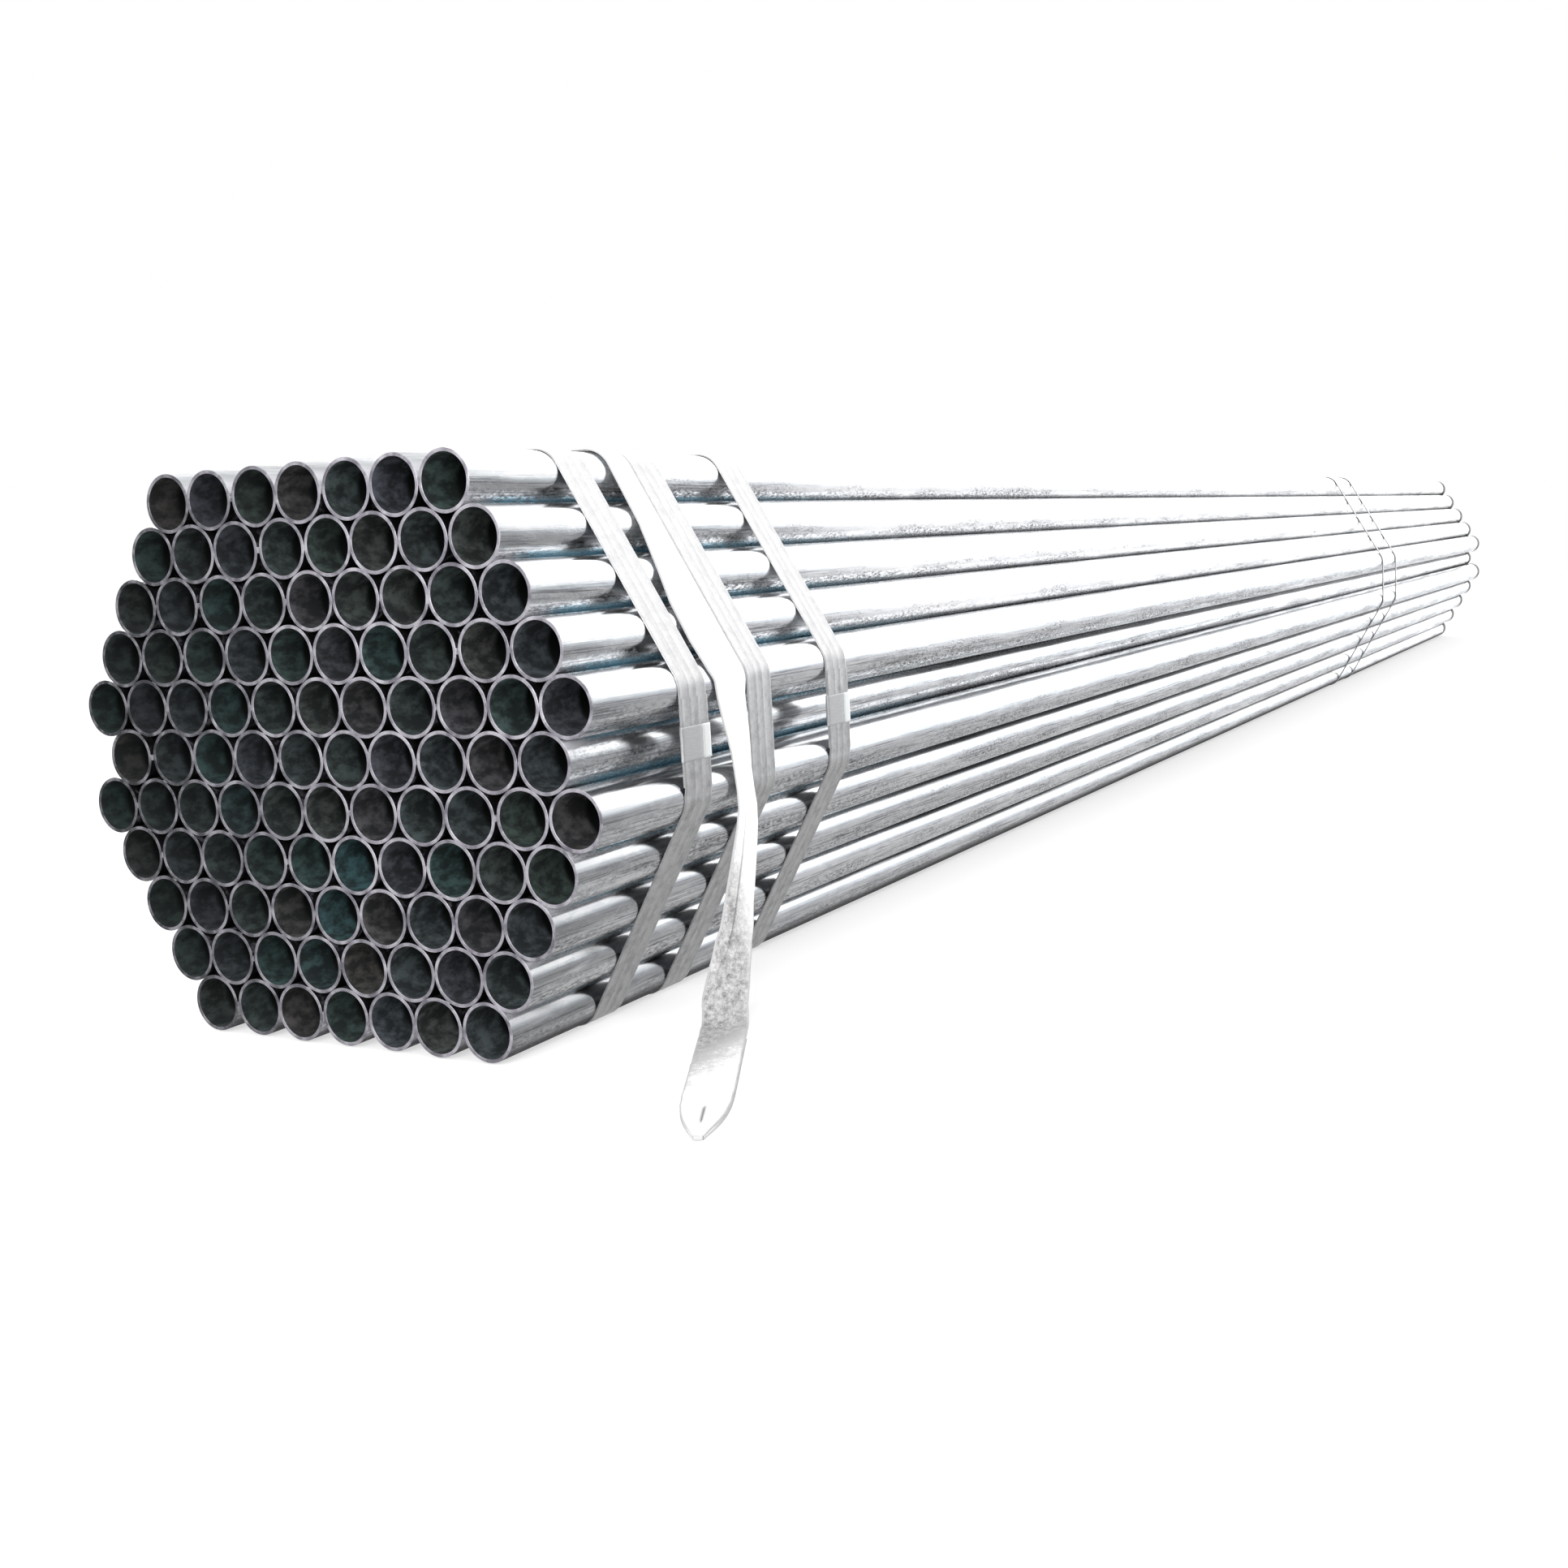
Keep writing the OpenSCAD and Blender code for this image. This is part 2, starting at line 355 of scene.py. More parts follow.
shade = node(tree, "Mix", {0: spangle, 6: colour("#D4D7DA"), 7: colour("#E9EAEB")}, data_type="RGBA")
for share, over in ((streaks, "#A9ABAF"), (duller, "#A4A6AA"), (scratches, "#6E6D71"),
                    (painted_groove_reflection, "#86BCCF"), (painted_groove_shade, "#333437"), (painted_light, "#F8F8FA"), (settled, "#8D8F92"),
                    (painted_floor_shade_and_dark_ends, "#2B2A2B"), (stained, "#C4C3C9"), (dirty, "#58565A")):
    shade = node(tree, "Mix", {0: share, 6: shade, 7: colour(over)}, data_type="RGBA")
rough = node(tree, "MapRange", {"Value": lines, "From Min": 0.3, "From Max": 0.8,
                                "To Min": 0.10, "To Max": 0.24})
for share, rougher in ((dirty, 0.35), (painted_floor_shade_and_dark_ends, 0.7), (settled, 0.5)):
    rough = node(tree, "Math", {0: share, 1: rougher, 2: rough}, operation="MULTIPLY_ADD")
bare = node(tree, "MapRange", {"Value": dirty, "To Min": 1.0, "To Max": 0.55})
for share, hidden in ((stained, 0.9), (painted_groove_reflection, 0.5), (painted_light, 0.8), (painted_floor_shade_and_dark_ends, 0.7), (settled, 0.8)):
    bare = node(tree, "Math", {0: share, 1: -hidden, 2: bare}, operation="MULTIPLY_ADD",
                use_clamp=True)
waves = node(tree, "Mapping", {"Vector": spot, "Scale": (2.2, 30, 30)})
waves = node(tree, "TexNoise", {"Vector": waves, "Scale": 1, "Detail": 2, "Roughness": 0.5})
relief = node(tree, "Bump", {"Height": waves, "Strength": 0.5, "Distance": 0.004})
for bumps, strength, distance in ((lines, 0.35, 0.0002), (dirty, 0.4, 0.0003)):
    relief = node(tree, "Bump", {"Height": bumps, "Strength": strength, "Distance": distance,
                                 "Normal": relief})
plug(tree, tree.nodes["Principled BSDF"],
     {"Base Color": shade, "Metallic": bare, "Roughness": rough, "Normal": relief})

# Sawn steel: a dull lavender-grey ring with fine tooth marks and blotches of grey oxide, darker in
# blotches towards the side away from the sling, dirt and painted shade.
sawn = bpy.data.materials.new("sawn_steel")
sawn.use_nodes = True
tree = sawn.node_tree
spot = node(tree, "TexCoord", output="Object")
y_at = node(tree, "SeparateXYZ", {0: spot}, output="Y")
teeth = node(tree, "Mapping", {"Vector": spot, "Rotation": (0.5, 0, 0), "Scale": (1, 60, 900)})
marks = node(tree, "TexNoise", {"Vector": teeth, "Scale": 1, "Detail": 3, "Roughness": 0.6})
blotch = node(tree, "TexNoise", {"Vector": spot, "Scale": 55, "Detail": 4, "Roughness": 0.6})
scored = node(tree, "Math", {0: marks, 1: 0.4}, operation="MULTIPLY")
# dirt and painted shade: darker in blotches towards the side away from the sling
dirty = node(tree, "Math", {
    0: node(tree, "MapRange", {"Value": y_at, "From Min": middle_y - 0.04,
                               "From Max": middle_y + 0.26, "To Max": 0.92}),
    1: node(tree, "MapRange", {"Value": blotch, "From Min": 0.60, "From Max": 0.40, "To Min": 0.55}),
}, operation="MULTIPLY")
shade = node(tree, "ValToRGB", {0: blotch}, stops=[
    (0.36, "#6A6770"), (0.5, "#9A979F"), (0.64, "#BDBAC1")])
for share, over in ((scored, "#85828A"), (dirty, "#2C3031")):
    shade = node(tree, "Mix", {0: share, 6: shade, 7: colour(over)}, data_type="RGBA")
rough = node(tree, "MapRange", {"Value": blotch, "To Min": 0.34, "To Max": 0.5})
relief = node(tree, "Bump", {"Height": marks, "Strength": 0.4, "Distance": 0.0002})
plug(tree, tree.nodes["Principled BSDF"],
     {"Base Color": shade, "Metallic": 0.6, "Roughness": rough, "Normal": relief})

# Mill scale inside the bore: dark oxide, slate, green or brown from pipe to pipe, its own colour for
# the first few centimetres and painted black beyond, the shade deep in the bore, with painted shade
# on the side away from the sling.
scale = bpy.data.materials.new("mill_scale")
scale.use_nodes = True
tree = scale.node_tree
spot = node(tree, "TexCoord", output="Object")
x_at, y_at = node(tree, "SeparateXYZ", {0: spot}).node.outputs[:2]
batch = node(tree, "Attribute", attribute_name="batch", output="Fac")
clouds = node(tree, "Mapping", {"Vector": spot, "Scale": (45, 70, 70)})
clouds = node(tree, "TexNoise", {"Vector": clouds, "Scale": 1, "Detail": 6, "Roughness": 0.7})
cloudy = node(tree, "MapRange", {"Value": clouds, "From Min": 0.38, "From Max": 0.56, "To Max": 0.85})
# painted shade: darker towards the side away from the sling
shaded = node(tree, "MapRange", {"Value": y_at, "From Min": middle_y - 0.05,
                                 "From Max": middle_y + 0.30, "To Max": 0.6})
# the painted black begins a little nearer the end on the side away from the sling
inward = node(tree, "Math", {0: x_at, 1: halfway_x}, operation="SUBTRACT")
inward = node(tree, "Math", {0: inward}, operation="ABSOLUTE")
inward = node(tree, "Math", {0: y_at, 1: -0.036, 2: inward}, operation="MULTIPLY_ADD")
# painted shade: black deeper in the bore than the first few centimetres
painted_deep_shade = node(tree, "MapRange", {"Value": inward, "From Min": half_length - 0.047,
                                "From Max": half_length - 0.054})
shade = node(tree, "ValToRGB", {0: batch}, stops=[
    (0.0, "#5A6167"), (0.25, "#4F5D58"), (0.45, "#4A6462"), (0.62, "#605C59"), (0.8, "#5A5D67"),
    (0.92, "#566361"), (1.0, "#486A6E")])
for share, over in ((cloudy, "#1B1E20"), (shaded, "#16191A"), (painted_deep_shade, "#07090A")):
    shade = node(tree, "Mix", {0: share, 6: shade, 7: colour(over)}, data_type="RGBA")
rough = node(tree, "MapRange", {"Value": clouds, "To Min": 0.45, "To Max": 0.8})
relief = node(tree, "Bump", {"Height": clouds, "Strength": 0.5, "Distance": 0.0006})
plug(tree, tree.nodes["Principled BSDF"],
     {"Base Color": shade, "Metallic": 0.15, "Roughness": rough, "Normal": relief})

# Painted shade: the outsides that are shut in between three pipes are painted near black, the shade
# deep in the gaps between the cut ends, where alone they show.
painted_shade_zinc = bpy.data.materials.new("painted_shade_between_pipes")
painted_shade_zinc.use_nodes = True
tree = painted_shade_zinc.node_tree
spot = node(tree, "TexCoord", output="Object")
clumps = node(tree, "TexNoise", {"Vector": spot, "Scale": 70, "Detail": 5, "Roughness": 0.65})
shade = node(tree, "ValToRGB", {0: clumps}, stops=[
    (0.42, "#050506"), (0.56, "#141416"), (0.66, "#4A494E")])
rough = node(tree, "MapRange", {"Value": clumps, "To Min": 0.8, "To Max": 1.0})
plug(tree, tree.nodes["Principled BSDF"],
     {"Base Color": shade, "Roughness": rough, "Specular IOR Level": 0.08})

# each point of a pipe knows how deep in a groove it lies (0 open, 1 at the line of contact with the
# next pipe) and how far it faces down
open_until = 0.62    # the cosine of the angle to the next pipe where its groove begins
shut_between = 0.55  # and where two neighbours lie within this cosine, a face is shut in
random.seed(60)
template = one_pipe(far_x - near_x)
for name in rows:
    bm = bmesh.new()
    batch_of = bm.verts.layers.float.new("batch")
    groove_of = bm.verts.layers.float.new("groove")
    under_of = bm.verts.layers.float.new("under")
    shut_in = set()
    for centre in centres[name]:
        before = len(bm.verts)
        bm.from_mesh(template)
        bm.verts.ensure_lookup_table()
        own = bm.verts[before:]
        beside = [(other - centre).normalized() for other in every_centre
                  if 0 < (other - centre).length < pipe_pitch * 1.1]
        tone = random.random()
        near_short, far_short = random.random() * sawn_off, random.random() * sawn_off
        for vert in own:
            facing = Vector((vert.co.y, vert.co.z)).normalized()
            second, closest = sorted(facing.dot(side) for side in beside)[-2:]
            if second > shut_between:
                shut_in.add(vert)
            vert[batch_of] = tone
            vert[groove_of] = eased((closest - open_until) / (1 - open_until))
            vert[under_of] = max(0.0, min(1.0, 0.35 - facing.y))
            vert.co.x += near_short if vert.co.x < half_length else -far_short
        bmesh.ops.translate(bm, verts=own, vec=(near_x, centre.x, centre.y))
    # faces shut in between three pipes take the painted shade
    for face in bm.faces:
        if face.material_index == 0 and shut_in.issuperset(face.verts):
            face.material_index = 3
    finished(bm, "pipes_" + name[5:], "galvanised_pipe", name, zinc, sawn, scale, painted_shade_zinc)

# ---- Straps -----------------------------------------------------------------------------------
# Flat zinc-coated steel strap, 50 mm wide with rolled ribs at the near end and 19 mm plain further
# along, pulled tight round the eight corner pipes with its ends lapped under a seal on the flank.
strap_gap, strap_t = 0.0003, 0.0013
strap_r = pipe_r + strap_gap
lap_length = 0.090
sheet_t = 0.00117    # the flat of the strap; its ribs stand up to the full thickness
ribbed_from = 0.03   # a wider strap than this has ribs
step_out = 0.007     # the height over which the second layer steps out over the first
flank_z = (centres[rows[4]][0].y + centres[rows[6]][0].y) / 2
lap_low = flank_z - lap_length / 2
first_end_z = lap_low + 0.003  # where the strap's inner end lies, and its loop begins


def corner(row, side):
    """The end pipe of a row on one side, -1 or +1, as (y, z)."""
    return centres[rows[row]][0 if side < 0 else -1]


def loop_of(bm, points, middle_x, width, side):
    """A closed loop of edges across a band that stands against one flank."""
    across_of = bm.verts.layers.float.new("across")
    wall = corner(4, side).x + side * strap_r
    verts = []
    for x, out in points:
        vert = bm.verts.new((middle_x + x, wall + side * out, first_end_z))
        if width < ribbed_from:
            vert[across_of] = x / width
        verts.append(vert)
    return [bm.edges.new((verts[i], verts[(i + 1) % len(verts)])) for i in range(len(verts))]


def run(bm, loop, step):
    """Carries the open end of a band straight on, and returns its new end."""
    made = bmesh.ops.extrude_edge_only(bm, edges=loop)["geom"]
    bmesh.ops.translate(bm, verts=[g for g in made if isinstance(g, bmesh.types.BMVert)], vec=step)
    return [g for g in made if isinstance(g, bmesh.types.BMEdge) and g.is_boundary]


def bend(bm, loop, centre, angle):
    """Carries the open end of a band round a pipe, and returns its new end."""
    verts = list({vert for e in loop for vert in e.verts})
    steps = max(3, round(abs(math.degrees(angle)) / 6))
    made = bmesh.ops.spin(bm, geom=verts + loop, cent=(0, centre.x, centre.y), axis=(1, 0, 0),
                          angle=angle, steps=steps)["geom_last"]
    return [g for g in made if isinstance(g, bmesh.types.BMEdge)]


def ribbed(width):
    """The section of the wide strap: a flat strip with four rolled ribs, as (across, outwards)."""
    outside = [(-0.5, 0.0004), (-0.493, 0.0009)]
    for rib in (-0.455, -0.13, 0.13, 0.455):
        outside += [(rib - 0.030, sheet_t), (rib - 0.012, strap_t), (rib + 0.012, strap_t),
                    (rib + 0.030, sheet_t)]
    outside += [(0.493, 0.0009), (0.5, 0.0004), (0.497, 0.0), (-0.497, 0.0)]
    return [(x * width, out) for x, out in outside]


def plain_strip(width):
    """The section of the narrow strap: a flat strip with rounded edges."""
    return [(x * width, out) for x, out in (
        (-0.5, 0.0004), (-0.475, 0.0009), (-0.43, sheet_t), (0.43, sheet_t), (0.475, 0.0009),
        (0.5, 0.0004), (0.48, 0.0), (-0.48, 0.0))]


# Zinc-coated strap steel: satin grey, with rolling lines that follow the strap round the bundle, a
# few rubbed places, fewer above the flank, and dust. The narrow strap carries painted shadow, a dark
# line along each edge.
strap_steel = bpy.data.materials.new("zinc_coated_strap_steel")
strap_steel.use_nodes = True
tree = strap_steel.node_tree
spot = node(tree, "TexCoord", output="Object")
z_at = node(tree, "SeparateXYZ", {0: spot}, output="Z")
across = node(tree, "Attribute", attribute_name="across", output="Fac")
rolled = node(tree, "Mapping", {"Vector": spot, "Scale": (1400, 9, 9)})
lines = node(tree, "TexNoise", {"Vector": rolled, "Scale": 1, "Detail": 4, "Roughness": 0.6})
rubbed = node(tree, "TexNoise", {"Vector": spot, "Scale": 75, "Detail": 7, "Roughness": 0.72})
worn = node(tree, "Math", {
    0: node(tree, "MapRange", {"Value": rubbed, "From Min": 0.46, "From Max": 0.70, "To Max": 0.6}),
    1: node(tree, "MapRange", {"Value": z_at, "From Min": flank_top - 0.03,
                               "From Max": flank_top + 0.03, "To Min": 1.0, "To Max": 0.25}),
}, operation="MULTIPLY")
dust = node(tree, "TexNoise", {"Vector": spot, "Scale": 380, "Detail": 3, "Roughness": 0.6})
dust = node(tree, "MapRange", {"Value": dust, "From Min": 0.5, "From Max": 0.75, "To Max": 0.35})
# painted shadow: a dark line along each edge of the narrow strap
painted_edge_shadow = node(tree, "Math", {0: across}, operation="ABSOLUTE")
painted_edge_shadow = node(tree, "MapRange", {"Value": painted_edge_shadow, "From Min": 0.385, "From Max": 0.415})
shade = node(tree, "ValToRGB", {0: lines}, stops=[(0.32, "#BABABB"), (0.66, "#C9C9CA")])
for share, over in ((worn, "#858588"), (dust, "#9C9A98"), (painted_edge_shadow, "#2E2E30")):
    shade = node(tree, "Mix", {0: share, 6: shade, 7: colour(over)}, data_type="RGBA")
rough = node(tree, "MapRange", {"Value": rubbed, "To Min": 0.34, "To Max": 0.58})
relief = node(tree, "Bump", {"Height": lines, "Strength": 0.15, "Distance": 0.0002})
plug(tree, tree.nodes["Principled BSDF"],
     {"Base Color": shade, "Metallic": 0.85, "Roughness": rough, "Normal": relief})

seal_side = (-1, 1, -1, 1, 1)
for number, side in enumerate(seal_side, 1):
    low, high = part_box(f"strap_{number}")
    width = high.x - low.x
    bm = bmesh.new()
    section = ribbed(width) if width > ribbed_from else plain_strip(width)
    end = loop_of(bm, section, (low.x + high.x) / 2, width, side)
    end = run(bm, end, (0, 0, corner(4, side).y - first_end_z))
    stops = [corner(4, side), corner(0, side), corner(0, -side), corner(4, -side),
             corner(6, -side), corner(10, -side), corner(10, side), corner(6, side)]
    turns = (30, 60, 60, 30, 30, 60, 60, 30)
    for here, after, turn in zip(stops, stops[1:] + [None], turns):
        end = bend(bm, end, here, side * math.radians(turn))
        if after:
            end = run(bm, end, (0, after.x - here.x, after.y - here.y))
    # the second layer steps out over the strap's own end and runs up beneath the seal
    climb = lap_low - 0.006 - corner(6, side).y
    for step in ((0, 0, climb), (0, side * strap_t, step_out), (0, 0, lap_length - 0.001)):
        end = run(bm, end, step)
    bmesh.ops.holes_fill(bm, edges=bm.edges[:], sides=60)
    bmesh.ops.recalc_face_normals(bm, faces=bm.faces[:])
    for face in bm.faces:
        face.smooth = True
    for e in bm.edges:
        e.smooth = e.calc_face_angle(0) < 0.5
    finished(bm, f"flat_strap_{number}", "strap_steel", f"strap_{number}", strap_steel)

# ---- Seals ------------------------------------------------------------------------------------
# A seal is a sleeve of zinc-coated sheet folded round both layers of the strap, one flange over the
# other, and crimped along both edges with the sealing tool. Its outer flange carries a painted
# highlight.
seal_sheet = 0.00045
turn_in = 0.0008          # the size of its folded corners
crimp_depth = 0.00009     # any deeper and they would press into the strap
crimp_half_width = 0.0022
crimps = (-0.0085, 0.0085)  # up and down from the seal's middle

# Zinc-coated sheet: satin grey, brushed across the seal, with a painted highlight that makes the outer
# flange nearly white.
seal_steel = bpy.data.materials.new("zinc_coated_seal_sheet")
seal_steel.use_nodes = True
tree = seal_steel.node_tree
spot = node(tree, "TexCoord", output="Object")
flange = node(tree, "Attribute", attribute_name="flange", output="Fac")
brushed = node(tree, "Mapping", {"Vector": spot, "Scale": (90, 90, 1600)})
lines = node(tree, "TexNoise", {"Vector": brushed, "Scale": 1, "Detail": 3, "Roughness": 0.6})
shade = node(tree, "ValToRGB", {0: lines}, stops=[(0.32, "#B2B2B3"), (0.66, "#C4C4C5")])
# painted highlight: the outer flange nearly white
shade = node(tree, "Mix", {0: flange, 6: shade, 7: colour("#F1F3F2")}, data_type="RGBA")
rough = node(tree, "MapRange", {"Value": lines, "To Min": 0.36, "To Max": 0.56})
relief = node(tree, "Bump", {"Height": lines, "Strength": 0.15, "Distance": 0.0002})
plug(tree, tree.nodes["Principled BSDF"],
     {"Base Color": shade, "Metallic": 0.85, "Roughness": rough, "Normal": relief})

for number, side in enumerate(seal_side, 1):
    low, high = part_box(f"seal_{number}")
    half_x = (high.x - low.x) / 2 - seal_sheet / 2
    middle_x, middle_z = (low.x + high.x) / 2, (low.z + high.z) / 2
    depth = high.y - low.y
    back = (high.y if side < 0 else low.y) + side * seal_sheet / 2
    skin_out = depth - seal_sheet          # the outer flange
    under_out = skin_out - seal_sheet      # the flange beneath it
    path = [(half_x * part, under_out) for part in (0.55, 0.2, -0.2, -0.6, -0.86)]
    path += [(-half_x + turn_in, under_out), (-half_x, under_out - turn_in), (-half_x, turn_in),
             (-half_x + turn_in, 0), (half_x - turn_in, 0), (half_x, turn_in),
             (half_x, skin_out - turn_in), (half_x - turn_in, skin_out)]
    path += [(half_x * part, skin_out) for part in (0.86, 0.6, 0.42)]
    bm = bmesh.new()
    flange_of = bm.verts.layers.float.new("flange")
    verts = [bm.verts.new((middle_x + x, back + side * out, low.z)) for x, out in path]
    # the last points make the outer flange, which carries the painted highlight
    for vert in verts[-4:]:
        vert[flange_of] = 1.0
    end = [bm.edges.new(pair) for pair in zip(verts, verts[1:])]
    steps = 17
    for _ in range(steps):
        made = bmesh.ops.extrude_edge_only(bm, edges=end)["geom"]
        fresh = {g for g in made if isinstance(g, bmesh.types.BMVert)}
        bmesh.ops.translate(bm, verts=list(fresh), vec=(0, 0, (high.z - low.z) / steps))
        end = [g for g in made if isinstance(g, bmesh.types.BMEdge) and set(g.verts) <= fresh]
    # the crimps press the flanges in along the two folded edges
    for vert in bm.verts:
        to_edge = max(0.0, abs(vert.co.x - middle_x) / half_x - 0.8) / 0.2
        bite = max(math.exp(-((vert.co.z - middle_z - at) / crimp_half_width) ** 2) for at in crimps)
        if side * (vert.co.y - back) > depth / 2:
            vert.co.y -= side * crimp_depth * min(1, to_edge * 2) * bite
    bmesh.ops.recalc_face_normals(bm, faces=bm.faces[:])
    for face in bm.faces:
        face.smooth = True
    piece = finished(bm, f"crimped_seal_{number}", "seal_steel", f"seal_{number}", seal_steel)
    wall = piece.modifiers.new("sheet", "SOLIDIFY")
    wall.thickness, wall.offset = seal_sheet, 0
    rounding = piece.modifiers.new("edge", "BEVEL")
    rounding.width, rounding.segments, rounding.limit_method = 0.00012, 2, "ANGLE"

# ---- Sling ------------------------------------------------------------------------------------
# A white polyester webbing sling, 68 mm wide and 2.6 mm thick. It lies under the bundle, goes up
# the far side and over the top, and hangs down the near side to a folded eye on the floor.
sling_w, sling_t = 0.068, 0.0026
sling_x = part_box("sling")[1].x - sling_w / 2
sling_r = strap_r + sling_t / 2
pressed_t = 0.0012   # the bundle's weight flattens the run beneath it
pressed_z = 0.0007   # and holds its middle this high
full_gather = 0.052  # drawn together by this much, the webbing is folded double
tail_angle = math.radians(27)
foot = Vector((near_x + 0.1895, corner(4, -1).x - sling_r - strap_gap, 0))
tail_way = Vector((-math.cos(tail_angle), -math.sin(tail_angle), 0))
tail_reach = 0.3405  # along the floor from the foot to the tip of the eye
floor_bend = 0.018   # the radius of its bend onto the floor
layer_up, layer_low = 0.0040, 0.0014  # the heights of the eye's two layers
stations = []


def station(centre, across, out, width, thick, **shape):
    """One place along the webbing. shape holds how far its edges curl back, its wrinkles and folds."""
    place = dict(centre=Vector(centre), across=Vector(across), out=Vector(out).normalized(),
                 width=width, thick=thick, curl=0.0, creased=0.0, slit=0.0, fold=0.0, tip=0.0)
    place.update(shape)
    stations.append(place)


def wrapped(centre, degrees, gather):
    """A place round a corner pipe, at an angle up from straight out on the side away from the tail."""
    out = Vector((0, math.cos(math.radians(degrees)), math.sin(math.radians(degrees))))
    loose = eased((degrees + 90) / 25)
    radius = (centre.y - pressed_z) * (1 - loose) + sling_r * loose
    station((sling_x + gather / 2, centre.x + radius * out.y, centre.y + radius * out.z),
            (1, 0, 0), out, sling_w - gather, pressed_t + (sling_t - pressed_t) * loose,
            fold=max(0.0, gather / full_gather))


# under the bundle, up the far side and over the top, where it is gathered towards the second strap
station((sling_x, corner(10, -1).x, pressed_z), (1, 0, 0), (0, 0, -1), sling_w, pressed_t)
for centre, start, stop in ((corner(10, 1), -90, -30), (corner(6, 1), -30, 0), (corner(4, 1), 0, 30),
                            (corner(0, 1), 30, 90), (corner(0, -1), 90, 150)):
    for degrees in range(start, stop + 1, 5):
        wrapped(centre, degrees, 0.026 * eased((degrees - 30) / 60))

# the gathers open out down the upper slant, and begin again round the flank's top pipe
for share, gather in ((0.30, 0.022), (0.52, 0.010), (0.68, 0.000), (0.86, -0.003)):
    wrapped(corner(0, -1).lerp(corner(4, -1), share), 150, gather)
for degrees in range(150, 181, 5):
    wrapped(corner(4, -1), degrees, 0.006 * eased((degrees - 150) / 30))

# down the flank and hanging free: height, distance from the near end, clear of the flank's plane,
# width and twist in degrees
hanging = (
    (0.333, 0.2380, 0.0000, 0.056, 0), (0.314, 0.2420, 0.0000, 0.052, 0),
    (0.295, 0.2460, 0.0000, 0.048, 0), (0.275, 0.2490, 0.0002, 0.043, 0),
    (0.256, 0.2505, 0.0004, 0.039, 0), (0.236, 0.2520, 0.0015, 0.037, 1),
    (0.217, 0.2530, 0.0030, 0.037, 4), (0.197, 0.2495, 0.0040, 0.038, 8),
    (0.178, 0.2450, 0.0040, 0.039, 12), (0.158, 0.2395, 0.0040, 0.040, 15),
    (0.138, 0.2340, 0.0035, 0.041, 18), (0.118, 0.2280, 0.0030, 0.042, 21),
    (0.098, 0.2215, 0.0025, 0.043, 26), (0.079, 0.2140, 0.0015, 0.045, 32),
    (0.060, 0.2060, 0.0010, 0.046, 40), (0.042, 0.1975, 0.0005, 0.047, 51),
    (0.030, 0.1920, 0.0000, 0.048, 59))
edge_curl = 0.0045
for up, along_x, clear_by, width, twist in hanging:
    turned = -math.radians(twist)
    station((near_x + along_x, foot.y - clear_by, up), (math.cos(turned), math.sin(turned), 0),
            (math.sin(turned), -math.cos(turned), 0), width, sling_t,
            curl=edge_curl * eased((0.25 - up) / 0.12), creased=eased((0.16 - up) / 0.12),
            fold=eased((0.32 - up) / 0.05) * eased((up - 0.05) / 0.06))

# round onto the floor, out to the tip of the eye, folded under and back
across = Vector((-tail_way.y, tail_way.x, 0))
bend_steps = 8
for step in range(bend_steps + 1):
    angle = math.pi / 2 * step / bend_steps
    station(foot + tail_way * floor_bend * (1 - math.cos(angle))
            + Vector((0, 0, layer_up + floor_bend * (1 - math.sin(angle)))),
            across, tail_way * math.cos(angle) + Vector((0, 0, math.sin(angle))), 0.048, sling_t,
            curl=edge_curl * (1 - step / bend_steps), creased=1.0)
eye_widths = ((0.0, 0.0485), (0.20, 0.0475), (0.235, 0.0470), (0.262, 0.0450), (0.284, 0.0400),
              (0.302, 0.0330), (0.318, 0.0240), (0.331, 0.0150), (0.3405, 0.0085))


def eye_width(reach):
    """The webbing's width on the floor, at a distance from the foot."""
    for (a, wide_a), (b, wide_b) in zip(eye_widths, eye_widths[1:]):
        if a <= reach <= b:
            return wide_a + (wide_b - wide_a) * (reach - a) / (b - a)
    return eye_widths[-1][1]


floor_steps = 56
last_step = 6  # the folded layer comes back as far as this one
fold_r = (layer_up - layer_low) / 2
tip_reach = tail_reach - 0.0014
for step in range(1, floor_steps + 1):
    reach = floor_bend + (tip_reach - floor_bend) * step / floor_steps
    lift = 0.0016 * eased((reach - 0.20) / 0.06) * eased((tip_reach - reach) / 0.03)
    slit = eased((reach - 0.262) / 0.012) * eased((0.318 - reach) / 0.012)
    station(foot + tail_way * reach + Vector((0, 0, layer_up + lift)), across, (0, 0, 1),
            eye_width(reach), sling_t, creased=0.55, slit=slit)
for step in range(1, bend_steps):
    angle = math.pi * step / bend_steps
    station(foot + tail_way * (tip_reach + fold_r * math.sin(angle))
            + Vector((0, 0, layer_low + fold_r * (1 + math.cos(angle)))),
            across, tail_way * math.sin(angle) + Vector((0, 0, math.cos(angle))),
            eye_widths[-1][1], sling_t * 0.95, tip=0.55)
for step in range(floor_steps, last_step - 1, -1):
    reach = floor_bend + (tip_reach - floor_bend) * step / floor_steps
    station(foot + tail_way * reach + Vector((0, 0, layer_low)), across, (0, 0, -1),
            eye_width(reach) * 1.01, sling_t)

# long straight runs get places between their ends, so that the weave and the wrinkles have room
longest = 0.016
laid = [stations[0]]
for place in stations[1:]:
    last = laid[-1]
    parts = max(1, math.ceil((place["centre"] - last["centre"]).length / longest))
    for part in range(1, parts + 1):
        share = part / parts
        between = dict(place)
        for key in ("centre", "across", "out", "width", "thick", "curl", "creased", "slit", "fold"):
            between[key] = last[key] + (place[key] - last[key]) * share
        between["out"] = between["out"].normalized()
        laid.append(between)

